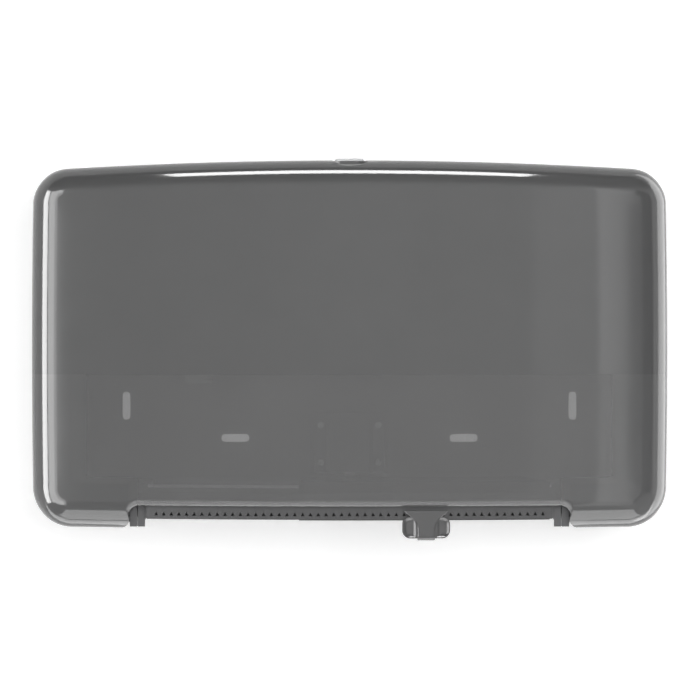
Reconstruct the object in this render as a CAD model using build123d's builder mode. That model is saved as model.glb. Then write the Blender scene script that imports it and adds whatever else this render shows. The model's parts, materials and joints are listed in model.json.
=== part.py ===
from build123d import *
from math import asin, cos, degrees, radians, sin, sqrt
import os

# Wall-mounted dispenser for two jumbo toilet rolls, side by side.
# Frame: the wall is the plane y = 0 and the front faces -Y, +X is to the right and
# +Z is up. The origin is the middle of the four wall screw slots.

# ---- driving dimensions, in millimetres and degrees ----

# Casing outline, seen from the front
case_width = 490.0          # widest, half way up
case_depth = 140.0          # wall to the front's middle
case_rise = 144.0           # top's middle above the screw slots' centre
case_drop = 135.9           # lobes' underside below it
top_arch = 5.8              # rise of the top's arch over its ends
side_bow = 1.6              # outward bow of each side
bow_radius = 900.0          # the front is part of an upright cylinder
top_corner = 26.5
bottom_corner = 30.0
front_roll = 22.0           # rounding where the sides turn into the front
wall = 2.8                  # cover's thickness
rim_gap = 2.5               # cover's rear rim to the wall

# Notch under the cover, where the paper comes out
notch_half = 168.0
notch_height = 17.6
notch_fillet = 6.0
lobe_fillet = 5.0
lip_depth = 5.0             # how far the notch's lip curls in

# Back plate
plate = 3.0
plate_margin = 2.4          # back plate's edge to the cover's inside
plate_rim = 9.0             # depth of the stiffening rim
plate_rim_wall = 2.0
pad = 5.0                   # raised pads that the fittings sit on
foot_pad_radius = 7.5
slot_spacing_x = 182.8
slot_spacing_z = 140.8
slot_length = 22.6
slot_width = 6.4
side_slot_x = 178.6
side_slot_z = -44.6

# Roll spindles and hubs
roll_spacing = 235.0
roll_height = 18.0
spindle_setback = 42.0      # spindle's end behind the cover's front
spindle_radius = 9.0
spindle_bore = 5.0
spindle_flange_radius = 23.0
spindle_flange = 4.0
spindle_screw_circle = 18.5
hub_arm_reach = 43.5
hub_arm_width = 17.0
hub_wall = 2.5
hub_sleeve_wall = 3.0
left_hub_turn = 0.0
right_hub_turn = 60.0
washer_radius = 14.5
washer = 2.0
cap_radius = 14.0
cap = 3.0

# Paper exit and its sliding shutter
exit_half = 155.0
exit_standoff = 44.5        # its rear wall from the wall
exit_top_lift = 33.4        # heights above the lobes' underside
exit_bottom_lift = 7.6
frame_wall = 2.5
deck = 2.0
foot = 3.0                  # thickness of the frame's foot flange
foot_screw_x = (134.8, 45.0)
frame_rib = 2.0
ear_inner = 162.0
ear = 5.5
ear_rise = 1.3              # ears' end above the lobes' underside
cheek = 5.2                 # cheeks beside the ears, at the exit's ends
cheek_depth = 4.0
shutter_turn = 3.72         # the shutter's middle from the centre line, about the bow
shutter_half_turn = 6.2
shutter = 2.2
skirt = 2.0
guide_rise = 2.5
tear_bar = 3.0
tear_bar_half = 154.0
tear_bar_rise = 20.0
tooth_pitch = 5.9
tooth_width = 3.0
tooth_height = 2.9
tooth_floor = 2.7           # bar below the teeth
tooth_count = 51
bar_block = 8.0             # thickness of the bar's end blocks
tongue_half = 6.0           # shutter's tongue, which the tab is screwed to
tongue_drop = 7.0
tab_half = 18.1
tab_bottom_drop = 7.9       # below the lobes' underside
tab_top_lift = 14.7
tab = 4.5
tab_rib_half = 6.5
tab_flare_half = 11.0
tab_wing_drop = 6.3
tab_wing_lift = 10.1
tab_wing_corner = 6.0

# Cover hinge, along X at the bottom rear
hinge_y = -17.0
hinge_lift = 6.9            # above the lobes' underside
hinge_pin_radius = 3.0
hinge_boss_radius = 6.6
hinge_boss = 6.0            # the cover's bosses, along the axis
hinge_pin_reach = 8.5       # pin's end beyond the notch's side
hinge_head_radius = 4.4
hinge_head = 1.6

# Lock on the cover's top
button_setback = 26.0       # its middle behind the cover's front
button_length = 22.0
button_width = 15.0
button_proud = 1.2
recess_length = 30.6
recess_width = 28.0
recess_depth = 3.0
stem_radius = 3.0
collar = 1.5                # flange that keeps the button in
collar_margin = 1.5
spring_height = 11.2
spring_wire_radius = 0.45
housing_drop = 3.5          # housing's top under the lock's cup
housing_half = 29.0
housing_screw_x = 24.0
lever_reach = 16.0          # button's axis to the lever's pin
lever_pin_radius = 1.75
lever_width = 12.0
striker_setback = 68.0
striker_radius = 2.5
striker_drop = 18.6         # casing's top to the striker's axis
hook_gap = 0.8
bracket_width = 34.0
bracket_base = 50.0
bracket_height = 26.0
bracket_screw_rise = 8.0
sheet = 2.5                 # wall of the small brackets

# Centre bracket between the rolls
centre_width = 61.0
centre_height = 49.7        # shelf to the bracket's top
centre_screw_x = 23.0
centre_screw_rise = 15.0
centre_web_x = 16.2
spring_leaf = 0.5

# Screws: shank radius, head radius and head height
screw_radius = 2.0
screw_head_radius = 4.0
screw_head = 2.4
small_screw_radius = 1.4
small_screw_head_radius = 2.7
small_screw_head = 1.8

# Clearances
fit = 0.05                  # pieces of one body that sit in each other
run = 0.05                  # shafts in their bores
gap = 0.5                   # faces that pass each other
seat = 0.3                  # faces that slide on each other

# ---- worked out from them ----

bow_y = bow_radius - case_depth


def front_at(radius, x):
    """y of a circle about the bow axis, at a place across."""
    return bow_y - sqrt(radius ** 2 - x ** 2)


notch_top = notch_height - case_drop
exit_top = exit_top_lift - case_drop
exit_bottom = exit_bottom_lift - case_drop
ear_bottom = ear_rise - case_drop
tab_top = tab_top_lift - case_drop
tab_bottom = -case_drop - tab_bottom_drop
tab_wing_top = tab_wing_lift - case_drop
tab_wing_bottom = -case_drop - tab_wing_drop
hinge_z = hinge_lift - case_drop
button_y = button_setback - case_depth
striker_y = striker_setback - case_depth
lip_radius = bow_radius - lip_depth
tab_front = lip_radius - 3 * gap
tab_rear = tab_front - tab
bar_front = tab_rear - gap
bar_rear = bar_front - tear_bar
skirt_front = bar_rear - gap
skirt_rear = skirt_front - skirt
exit_front = skirt_rear - gap
exit_inner = exit_front - frame_wall
exit_rear = bow_y + exit_standoff
guide_radius = exit_rear - frame_wall - gap
mid_x = (ear_inner + ear_inner + ear) / 2
ear_outer = ear_inner + ear
channel_inner = exit_half + frame_wall
cheek_outer_x = ear_inner - gap - seat
plate_front = plate + pad
spindle_length = case_depth - spindle_setback - plate_front
ear_front = front_at(exit_front, exit_half)


def upright(offset):
    """Plane facing -Y, at a distance in front of the wall: local x is X, local y is Z."""
    return Plane.XZ.offset(offset)


def track(height, turn):
    """Horizontal plane on the bow axis, turned so that local -y points along the track."""
    angle = radians(turn)
    return Plane(origin=(0, bow_y, height), x_dir=(cos(angle), sin(angle), 0), z_dir=(0, 0, 1))


def radial(turn, height, radius):
    """Plane across a radius of the bow: local y is up and its normal points to the front."""
    angle = radians(turn)
    place = (radius * sin(angle), bow_y - radius * cos(angle), height)
    return Plane(origin=place, x_dir=(cos(angle), sin(angle), 0), z_dir=(sin(angle), -cos(angle), 0))


def case_outline(inset):
    """Outline of the casing from the front, drawn inside itself by an inset."""
    half = case_width / 2 - inset
    end = half - side_bow
    top = case_rise - inset
    bottom = -case_drop + inset
    with BuildSketch() as outline:
        with BuildLine():
            ThreePointArc((-end, top - top_arch), (0, top), (end, top - top_arch))
            ThreePointArc((end, top - top_arch), (half, 0), (end, bottom))
            Line((end, bottom), (-end, bottom))
            ThreePointArc((-end, bottom), (-half, 0), (-end, top - top_arch))
        make_face()
        fillet(outline.vertices().filter_by(lambda v: v.Y > 0), top_corner - inset)
        fillet(outline.vertices().filter_by(lambda v: abs(v.Y - bottom) < 0.01), bottom_corner - inset)
    return outline.sketch


def casing(inset):
    """Solid of the casing's shape, up to the wall, shrunk by an inset."""
    with BuildPart() as body:
        with BuildSketch(Plane.XZ):
            add(case_outline(inset))
        extrude(amount=case_depth)
        with Locations((0, bow_y, 0)):
            Cylinder(bow_radius - inset, 2 * (case_rise + case_drop), mode=Mode.INTERSECT)
        fillet(body.faces().sort_by(Axis.Y)[0].edges(), front_roll - inset)
    return body.part


def notched(inset, lobe_corner):
    """Prism, open upwards, whose underside has the notch drawn inside itself by an inset."""
    half = notch_half + inset
    top = notch_top + inset
    bottom = inset - case_drop
    with BuildPart() as body:
        with BuildSketch(Plane.XZ) as face:
            with BuildLine():
                Polyline(
                    (-case_width, bottom),
                    (-half, bottom),
                    (-half, top),
                    (half, top),
                    (half, bottom),
                    (case_width, bottom),
                    (case_width, 2 * case_rise),
                    (-case_width, 2 * case_rise),
                    close=True,
                )
            make_face()
            inner = face.vertices().filter_by(lambda v: abs(abs(v.X) - half) < 0.01)
            fillet(inner.filter_by(lambda v: v.Y > (top + bottom) / 2), notch_fillet + inset)
            inner = face.vertices().filter_by(lambda v: abs(abs(v.X) - half) < 0.01)
            if lobe_corner:
                fillet(inner.filter_by(lambda v: v.Y < bottom + 0.01), lobe_corner)
        extrude(amount=2 * case_depth)
    return body.part


def screw(plane, radius, length, head_radius, head):
    """Pan-head screw with its head's underside on the plane and its shank going down from it."""
    with BuildPart() as body:
        with BuildSketch(plane):
            Circle(radius)
        extrude(amount=-length)
        with BuildSketch(plane):
            Circle(head_radius)
        extrude(amount=head)
        fillet(body.faces().sort_by(Axis((0, 0, 0), plane.z_dir))[-1].edges(), head / 2.5)
    return body.part


def screw_set(planes, radius, length, head_radius, head):
    """Several screws as separate solids of one node."""
    return Compound(children=[screw(plane, radius, length, head_radius, head) for plane in planes])


def facing_front(places, distance):
    """Planes facing -Y at a distance in front of the wall, one for each place (x, z)."""
    return [Plane(origin=(x, -distance, z), x_dir=(1, 0, 0), z_dir=(0, -1, 0)) for x, z in places]


def bow_block(radius, rear, half, low, high):
    """Solid from a circle about the bow axis back to a flat rear, between two heights."""
    side = front_at(radius, half)
    with BuildPart() as body:
        with BuildSketch(Plane.XY.offset(low)):
            with BuildLine():
                ThreePointArc((-half, side), (0, bow_y - radius), (half, side))
                Polyline((half, side), (half, rear), (-half, rear), (-half, side))
            make_face()
        extrude(amount=high - low)
    return body.part


def bow_ring(outer, inner, half, low, high):
    """Curved wall between two circles about the bow axis, cut off square at both ends."""
    front = front_at(outer, half)
    rear = front_at(inner, half)
    with BuildPart() as body:
        with BuildSketch(Plane.XY.offset(low)):
            with BuildLine():
                ThreePointArc((-half, front), (0, bow_y - outer), (half, front))
                Line((half, front), (half, rear))
                ThreePointArc((half, rear), (0, bow_y - inner), (-half, rear))
                Line((-half, rear), (-half, front))
            make_face()
        extrude(amount=high - low)
    return body.part


def sector(turn, half_turn, outer, inner, low, high):
    """Sector of a ring about the bow axis, its middle turned from the centre line."""

    def point(radius, angle):
        return (radius * sin(radians(angle)), -radius * cos(radians(angle)))

    with BuildPart() as body:
        with BuildSketch(track(low, turn)):
            with BuildLine():
                ThreePointArc(point(outer, -half_turn), point(outer, 0), point(outer, half_turn))
                Line(point(outer, half_turn), point(inner, half_turn))
                ThreePointArc(point(inner, half_turn), point(inner, 0), point(inner, -half_turn))
                Line(point(inner, -half_turn), point(outer, -half_turn))
            make_face()
        extrude(amount=high - low)
    return body.part


def box(x, y, z, mode=Mode.ADD):
    """Box between two values on each axis."""
    with Locations(((x[0] + x[1]) / 2, (y[0] + y[1]) / 2, (z[0] + z[1]) / 2)):
        Box(abs(x[1] - x[0]), abs(y[1] - y[0]), abs(z[1] - z[0]), mode=mode)


def both(low, high):
    """The stretch from low to high on the right, and its mirror image on the left."""
    return [(low, high), (-high, -low)]


def drill(planes, radius, depth):
    """Round hole from each plane down into the part being made."""
    with BuildSketch(*planes) as holes:
        Circle(radius)
    extrude(holes.sketch, amount=-depth, mode=Mode.SUBTRACT)


# ---- where the fittings are screwed to the back plate ----

spindle_places = [(side * roll_spacing / 2, roll_height) for side in (-1, 1)]
foot_z = (exit_top + exit_bottom) / 2
foot_places = [(side * x, foot_z) for x in foot_screw_x for side in (-1, 1)]
striker_z = case_rise - striker_drop
bracket_mid = striker_z - 5
bracket_screw_x = (bracket_width / 2 + bracket_base / 2) / 2
bracket_screw_z = (bracket_mid - bracket_screw_rise, bracket_mid + bracket_screw_rise)
bracket_places = [(side * bracket_screw_x, z) for side in (-1, 1) for z in bracket_screw_z]
shelf = exit_top + seat + shutter + seat
centre_top = shelf + centre_height
centre_mid = shelf + centre_height / 2
centre_screw_z = (centre_mid - centre_screw_rise, centre_mid + centre_screw_rise)
centre_places = [(side * centre_screw_x, z) for side in (-1, 1) for z in centre_screw_z]
shelf_front = bow_y - guide_radius - 8


def spindle_screws_at(centre):
    """The three screw places round a spindle."""
    x, z = centre
    angles = [radians(90 + 120 * i) for i in range(3)]
    return [(x + spindle_screw_circle * cos(a), z + spindle_screw_circle * sin(a)) for a in angles]


def back_plate():
    """Moulded plate on the wall, with a stiff rim, raised pads and the wall screw slots."""
    inset = wall + plate_margin
    foot_half = ear_outer - 2.0
    clear = hinge_z - hinge_y + 2 * gap
    with BuildPart() as body:
        with BuildSketch(Plane.XZ):
            add(case_outline(inset))
        extrude(amount=plate)
        with BuildSketch(Plane.XZ):
            add(case_outline(inset))
            add(case_outline(inset + plate_rim_wall), mode=Mode.SUBTRACT)
        extrude(amount=plate + plate_rim)
        for x in both(foot_half, case_width):
            box(x, (-case_depth, case_depth), (-2 * case_drop, clear), Mode.SUBTRACT)
        across = (-case_width, case_width)
        box(across, (-case_depth, case_depth), (-2 * case_drop, exit_bottom), Mode.SUBTRACT)
        with BuildSketch(upright(plate)):
            with Locations(*spindle_places):
                Circle(spindle_flange_radius + 2)
            with Locations(*foot_places):
                Circle(foot_pad_radius)
            with Locations((0, bracket_mid)):
                Rectangle(bracket_base, bracket_height)
            with Locations((0, centre_mid)):
                Rectangle(centre_width, centre_height)
        extrude(amount=pad)
        with BuildSketch(Plane.XZ):
            with GridLocations(slot_spacing_x, slot_spacing_z, 2, 2):
                SlotOverall(slot_length, slot_width)
            with Locations((-side_slot_x, side_slot_z), (side_slot_x, side_slot_z)):
                SlotOverall(slot_length, slot_width, rotation=90)
        extrude(amount=plate, mode=Mode.SUBTRACT)
        drill(facing_front(foot_places, plate_front), screw_radius + fit, plate_front - 1)
        small = bracket_places + centre_places
        for centre in spindle_places:
            small = small + spindle_screws_at(centre)
        drill(facing_front(small, plate_front), small_screw_radius + fit, plate_front - 1)
    body.part.label = "back_plate"
    return body.part


def exit_frame():
    """Frame round the paper exit, with its two ears for the cover's hinge."""
    rear = -(plate_front + foot)
    low = exit_bottom - 1
    with BuildPart() as body:
        add(bow_block(exit_front, -plate_front, exit_half + frame_wall, exit_bottom, exit_top))
        for x in both(exit_half, ear_outer):
            box(x, (ear_front, -plate_front), (exit_top - deck, exit_top))
            box(x, (ear_front, ear_front + frame_wall), (notch_top + gap, exit_top))
        for x in both(cheek_outer_x - cheek, cheek_outer_x):
            box(x, (ear_front, ear_front + cheek_depth), (ear_bottom, exit_top))
        for x in both(ear_inner, ear_outer):
            box(x, (ear_front, -plate_front), (hinge_z + hinge_boss_radius, exit_top))
            box(x, (ear_front, hinge_y), (ear_bottom, exit_top))
            with BuildSketch(Plane.YZ.offset(x[0])):
                with Locations((hinge_y, hinge_z)):
                    Circle(hinge_z - ear_bottom)
            extrude(amount=x[1] - x[0])
        add(bow_ring(exit_inner, exit_rear, exit_half, low, exit_top + 1), mode=Mode.SUBTRACT)
        add(bow_block(exit_rear - frame_wall, rear, exit_half, low, exit_top - deck), mode=Mode.SUBTRACT)
        add(bow_ring(guide_radius, guide_radius - 2, exit_half, exit_top - deck, exit_top + guide_rise))
        for x in (-exit_half / 2, 0, exit_half / 2):
            front = front_at(exit_rear - frame_wall / 2, x)
            box((x - frame_rib / 2, x + frame_rib / 2), (front, rear), (exit_bottom + 6, exit_top))
        drill(facing_front(foot_places, plate_front + foot), screw_radius + gap / 2, foot)
        with BuildSketch(Plane.YZ.offset(-case_width / 2)):
            with Locations((hinge_y, hinge_z)):
                Circle(hinge_pin_radius + fit)
        extrude(amount=case_width, mode=Mode.SUBTRACT)
        drill(bar_screw_planes(-ear_front), small_screw_radius + fit, 10)
    body.part.label = "exit_frame"
    return body.part


bar_low = notch_top + gap
bar_high = exit_bottom + tear_bar_rise


def bar_screw_planes(distance):
    """Planes of the tear bar's two screws at a distance in front of the wall."""
    return facing_front([(-mid_x, (bar_low + bar_high) / 2), (mid_x, (bar_low + bar_high) / 2)], distance)


def tear_bar_piece():
    """Bowed bar with a row of teeth in windows and a block at each end."""
    step = degrees(tooth_pitch / bar_front)
    with BuildPart() as body:
        add(bow_ring(bar_front, bar_rear, tear_bar_half, exit_bottom, bar_high))
        add(bow_ring(bar_front, bar_rear, ear_outer, bar_low, bar_high))
        for x in both(channel_inner, ear_outer):
            box(x, (ear_front - bar_block, ear_front), (bar_low, bar_high))
        floor = exit_bottom + tooth_floor
        turns = [step * (i - (tooth_count - 1) / 2) for i in range(tooth_count)]
        with BuildSketch(*[radial(turn, floor, bar_front + 1) for turn in turns]):
            with BuildLine():
                Polyline((-tooth_width / 2, 0), (tooth_width / 2, 0), (0, tooth_height), close=True)
            make_face()
        extrude(amount=-(tear_bar + 2), mode=Mode.SUBTRACT)
        drill(bar_screw_planes(bar_block - ear_front), small_screw_radius + gap / 2, bar_block)
    body.part.label = "tear_bar"
    return body.part


def spindle(centre, label):
    """Post that a roll's hub turns on, with its flange on the back plate."""
    end = plate_front + spindle_length
    with BuildPart() as body:
        with BuildSketch(upright(plate_front)):
            with Locations(centre):
                Circle(spindle_flange_radius)
        extrude(amount=spindle_flange)
        with BuildSketch(upright(plate_front)):
            with Locations(centre):
                Circle(spindle_radius)
        extrude(amount=spindle_length)
        with BuildSketch(upright(plate_front)):
            with Locations(centre):
                Circle(spindle_bore)
        extrude(amount=spindle_length - 16, mode=Mode.SUBTRACT)
        drill(facing_front([centre], end), screw_radius + fit, 14)
        flange_front = plate_front + spindle_flange
        holes = facing_front(spindle_screws_at(centre), flange_front)
        drill(holes, small_screw_radius + gap / 2, spindle_flange)
    body.part.label = label
    return body.part


def washer_ring(centre, label):
    """Friction washer round a spindle, between its flange and the hub."""
    with BuildPart() as body:
        with BuildSketch(upright(plate_front + spindle_flange)):
            with Locations(centre):
                Circle(washer_radius)
                Circle(spindle_radius + seat, mode=Mode.SUBTRACT)
        extrude(amount=washer)
    body.part.label = label
    return body.part


def hub(centre, turn, label):
    """Three-armed hub that holds a roll's core."""
    rear = plate_front + spindle_flange + washer + seat
    front = plate_front + spindle_length - seat
    sleeve = spindle_radius + run + hub_sleeve_wall
    start = turn - 90
    middle = (hub_arm_reach + spindle_radius + run) / 2
    reach = hub_arm_reach - spindle_radius - run - hub_sleeve_wall / 2
    with BuildPart() as body:
        with BuildSketch(upright(rear)):
            with Locations(centre):
                Circle(sleeve)
                with PolarLocations(middle, 3, start):
                    Rectangle(reach, hub_wall)
                with PolarLocations(hub_arm_reach - hub_wall / 2, 3, start):
                    Rectangle(hub_wall, hub_arm_width)
        extrude(amount=front - rear)
        with BuildSketch(upright(front - hub_wall)):
            with Locations(centre):
                with PolarLocations(middle, 3, start):
                    Rectangle(reach, hub_arm_width)
        extrude(amount=hub_wall)
        with BuildSketch(upright(rear)):
            with Locations(centre):
                Circle(spindle_radius + run)
        extrude(amount=front - rear, mode=Mode.SUBTRACT)
    body.part.label = label
    return body.part


def hub_cap(centre, label):
    """Round cap that keeps a hub on its spindle."""
    with BuildPart() as body:
        with BuildSketch(upright(plate_front + spindle_length)):
            with Locations(centre):
                Circle(cap_radius)
        extrude(amount=cap)
        chamfer(body.faces().sort_by(Axis.Y)[0].edges(), cap / 4)
        drill(facing_front([centre], plate_front + spindle_length + cap), screw_radius + gap / 2, cap)
    body.part.label = label
    return body.part


def centre_bracket():
    """Bracket between the rolls whose shelf holds down the shutter's rear edge."""
    half = centre_width / 2
    face = -(plate_front + sheet)
    with BuildPart() as body:
        box((-half, half), (-plate_front, face), (shelf, centre_top))
        box((-half, half), (-plate_front, shelf_front), (shelf, shelf + sheet))
        for low in (half - sheet, centre_web_x):
            for x in both(low, low + sheet):
                with BuildSketch(Plane.YZ.offset(x[0])):
                    with BuildLine():
                        Polyline((face, shelf), (shelf_front, shelf), (face, centre_top - 8), close=True)
                    make_face()
                extrude(amount=sheet)
        drill(facing_front(centre_places, plate_front + sheet), small_screw_radius + gap / 2, sheet)
    body.part.label = "centre_bracket"
    return body.part


def detent_spring():
    """Leaf spring on the centre bracket's shelf that presses on the shutter."""
    top = shelf + sheet
    tip = shelf_front - 9
    with BuildPart() as body:
        with BuildSketch(Plane.YZ.offset(-4)):
            with BuildLine():
                Polyline(
                    (shelf_front + 26, top),
                    (shelf_front - 1, top),
                    (tip, shelf),
                    (tip - 3, shelf + 2),
                    (tip - 3, shelf + 2 + spring_leaf),
                    (tip, shelf + spring_leaf),
                    (shelf_front - 1, top + spring_leaf),
                    (shelf_front + 26, top + spring_leaf),
                    close=True,
                )
            make_face()
        extrude(amount=8)
    body.part.label = "detent_spring"
    return body.part


def latch_bracket():
    """Channel that stands out from the back plate and carries the striker."""
    half = bracket_width / 2
    low = striker_z - 15
    high = striker_z + 5
    front = striker_y - striker_radius - 3.5
    face = -(plate_front + sheet)
    with BuildPart() as body:
        base_low = bracket_mid - bracket_height / 2
        box((-bracket_base / 2, bracket_base / 2), (-plate_front, face), (base_low, base_low + bracket_height))
        for x in both(half - sheet, half):
            box(x, (-plate_front, front), (low, high))
        box((-half, half), (-plate_front, front), (low, low + sheet))
        drill(facing_front(bracket_places, plate_front + sheet), small_screw_radius + gap / 2, sheet)
        with BuildSketch(Plane.YZ.offset(-half)):
            with Locations((striker_y, striker_z)):
                Circle(striker_radius + fit)
        extrude(amount=bracket_width, mode=Mode.SUBTRACT)
    body.part.label = "latch_bracket"
    return body.part


def cross_pin(y, z, radius, x, label):
    """Plain pin along X with chamfered ends."""
    with BuildPart() as body:
        with BuildSketch(Plane.YZ.offset(x[0])):
            with Locations((y, z)):
                Circle(radius)
        extrude(amount=x[1] - x[0])
        chamfer(body.edges(), radius / 6)
    body.part.label = label
    return body.part


def hinge_pin(side, label):
    """Headed pin through an ear of the exit frame and the cover's boss."""
    shank_end = notch_half + hinge_pin_reach
    head_start = ear_inner - hinge_head
    with BuildPart() as body:
        with BuildSketch(Plane.YZ.offset(side * head_start)):
            with Locations((hinge_y, hinge_z)):
                Circle(hinge_head_radius)
        extrude(amount=side * hinge_head)
        with BuildSketch(Plane.YZ.offset(side * ear_inner)):
            with Locations((hinge_y, hinge_z)):
                Circle(hinge_pin_radius)
        extrude(amount=side * (shank_end - ear_inner))
    body.part.label = label
    return body.part


# ---- cover and lock ----

recess_floor = case_rise - recess_depth
cup_bottom = recess_floor - wall
housing_top = cup_bottom - housing_drop
housing_bottom = housing_top - sheet
collar_top = cup_bottom - seat
collar_bottom = collar_top - collar
spring_floor = collar_bottom - spring_height
tail_top = spring_floor - sheet - 1.5
lever_y = button_y + lever_reach
lever_z = tail_top
housing_screw_y = (button_y - 6, button_y + 18)
housing_places = [(x, y) for x in (-housing_screw_x, housing_screw_x) for y in housing_screw_y]
cheek_inner = lever_width / 2 + 1
cheek_outer = cheek_inner + sheet


def cavity():
    """The cover's hollow."""
    with BuildPart() as body:
        add(casing(wall))
        add(notched(wall, 0), mode=Mode.INTERSECT)
    return body.part


def cover():
    """Front cover: a shell open at the back, with the notch, hinge bosses and lock recess."""
    with BuildPart() as body:
        add(casing(0))
        add(notched(0, lobe_fillet), mode=Mode.INTERSECT)
        add(cavity(), mode=Mode.SUBTRACT)
        top = notch_top + wall + 1
        low = notch_top - notch_fillet - 1
        add(bow_block(lip_radius, 1, notch_half, low, top), mode=Mode.SUBTRACT)
        box((-case_width, case_width), (-rim_gap, case_depth), (-2 * case_drop, 2 * case_rise), Mode.SUBTRACT)
        for x in both(notch_half, notch_half + hinge_boss):
            with BuildSketch(Plane.YZ.offset(x[0])):
                with Locations((hinge_y, hinge_z)):
                    Circle(hinge_boss_radius)
            extrude(amount=x[1] - x[0])
        with BuildSketch(Plane.YZ.offset(-case_width / 2)):
            with Locations((hinge_y, hinge_z)):
                Circle(hinge_pin_radius + run)
        extrude(amount=case_width, mode=Mode.SUBTRACT)
        with BuildSketch(Plane.XY.offset(cup_bottom)):
            with Locations((0, button_y)):
                SlotOverall(recess_length + 2 * wall, recess_width + 2 * wall)
        extrude(amount=case_rise - wall / 2 - cup_bottom)
        with BuildSketch(Plane.XY.offset(recess_floor)):
            with Locations((0, button_y)):
                SlotOverall(recess_length, recess_width)
        extrude(amount=recess_depth + 1, mode=Mode.SUBTRACT)
        with BuildSketch(Plane.XY.offset(cup_bottom)):
            with Locations((0, button_y)):
                SlotOverall(button_length + 2 * seat, button_width + 2 * seat)
        extrude(amount=wall, mode=Mode.SUBTRACT)
        with BuildSketch(Plane.XY.offset(housing_top)):
            with Locations(*housing_places):
                Circle(small_screw_radius + 2.8)
        extrude(amount=case_rise - wall / 2 - housing_top)
        with BuildSketch(Plane.XY.offset(housing_top)):
            with Locations(*housing_places):
                Circle(small_screw_radius + fit)
        extrude(amount=5, mode=Mode.SUBTRACT)
    body.part.label = "front_cover"
    return body.part


def lock_housing():
    """Housing under the cover's top that guides the button and carries the lever's pin."""
    front = button_y - 13.5
    rear = button_y + 27
    with BuildPart() as body:
        box((-housing_half, housing_half), (front, rear), (housing_bottom, housing_top))
        for x in both(cheek_inner, cheek_outer):
            box(x, (front + 1, rear - 1), (lever_z - 5.5, housing_bottom))
        box((-cheek_outer, cheek_outer), (button_y - 9, button_y + 9), (spring_floor - sheet, spring_floor))
        with BuildSketch(Plane.XY.offset(housing_bottom)):
            with Locations((0, button_y)):
                SlotOverall(button_length + 5, button_width + 5)
        extrude(amount=sheet, mode=Mode.SUBTRACT)
        window = (lever_y - 6, rear + 1)
        box((-cheek_inner, cheek_inner), window, (housing_bottom - 1, housing_top), Mode.SUBTRACT)
        with BuildSketch(Plane.XY.offset(spring_floor - sheet)):
            with Locations((0, button_y)):
                Circle(stem_radius + seat)
        extrude(amount=sheet, mode=Mode.SUBTRACT)
        with BuildSketch(Plane.XY.offset(housing_bottom)):
            with Locations(*housing_places):
                Circle(small_screw_radius + gap / 2)
        extrude(amount=sheet, mode=Mode.SUBTRACT)
        with BuildSketch(Plane.YZ.offset(-cheek_outer)):
            with Locations((lever_y, lever_z)):
                Circle(lever_pin_radius + fit)
        extrude(amount=2 * cheek_outer, mode=Mode.SUBTRACT)
    body.part.label = "lock_housing"
    return body.part


def lock_button():
    """Oval push button with its collar and stem."""
    top = case_rise + button_proud
    with BuildPart() as body:
        with BuildSketch(Plane.XY.offset(collar_top)):
            with Locations((0, button_y)):
                SlotOverall(button_length, button_width)
        extrude(amount=top - collar_top)
        fillet(body.faces().sort_by(Axis.Z)[-1].edges(), button_proud)
        with BuildSketch(Plane.XY.offset(collar_bottom)):
            with Locations((0, button_y)):
                SlotOverall(button_length + 2 * collar_margin, button_width + 2 * collar_margin)
        extrude(amount=collar)
        with BuildSketch(Plane.XY.offset(tail_top + seat)):
            with Locations((0, button_y)):
                Circle(stem_radius)
        extrude(amount=collar_bottom - tail_top - seat)
        fillet(body.faces().sort_by(Axis.Z)[0].edges(), stem_radius * 0.6)
    body.part.label = "lock_button"
    return body.part


def button_spring():
    """Coil spring round the button's stem."""
    wire = spring_wire_radius
    coil = stem_radius + 1.2
    length = spring_height - 2 * wire - 2 * fit
    with BuildPart() as body:
        with BuildLine() as path:
            Helix(length / 4, length, coil, center=(0, button_y, spring_floor + wire + fit))
        with BuildSketch(Plane(origin=path.line @ 0, z_dir=path.line % 0)):
            Circle(wire)
        sweep(path=path.line)
    body.part.label = "button_spring"
    return body.part


def latch_lever():
    """Lever whose tail lies under the button's stem and whose claw drops behind the striker."""
    half = lever_width / 2
    claw_front = striker_y + striker_radius + hook_gap
    claw_rear = claw_front + 3.5
    arm_low = striker_z + striker_radius + 1.5
    arm_high = arm_low + 4
    with BuildPart() as body:
        with BuildSketch(Plane.YZ.offset(-half)):
            with BuildLine():
                Polyline(
                    (button_y - 4.5, tail_top - 4),
                    (button_y - 4.5, tail_top),
                    (lever_y - 4, tail_top),
                    (lever_y - 2, tail_top + 4.2),
                    (lever_y + 11, arm_low),
                    (lever_y + 15, arm_high),
                    (claw_rear, arm_high),
                    (claw_rear, striker_z - 2),
                    (claw_front, striker_z - 2),
                    (claw_front, arm_low),
                    (lever_y + 17, arm_low),
                    (lever_y + 4, tail_top - 2),
                    (lever_y, tail_top - 4.5),
                    close=True,
                )
            make_face()
        extrude(amount=lever_width)
        with BuildSketch(Plane.YZ.offset(-half)):
            with Locations((lever_y, lever_z)):
                Circle(4.5)
        extrude(amount=lever_width)
        with BuildSketch(Plane.YZ.offset(-half)):
            with Locations((lever_y, lever_z)):
                Circle(lever_pin_radius + run)
        extrude(amount=lever_width, mode=Mode.SUBTRACT)
    body.part.label = "latch_lever"
    return body.part


# ---- sliding shutter ----

shutter_low = exit_top + seat
skirt_bottom = exit_bottom - 0.7


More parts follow.
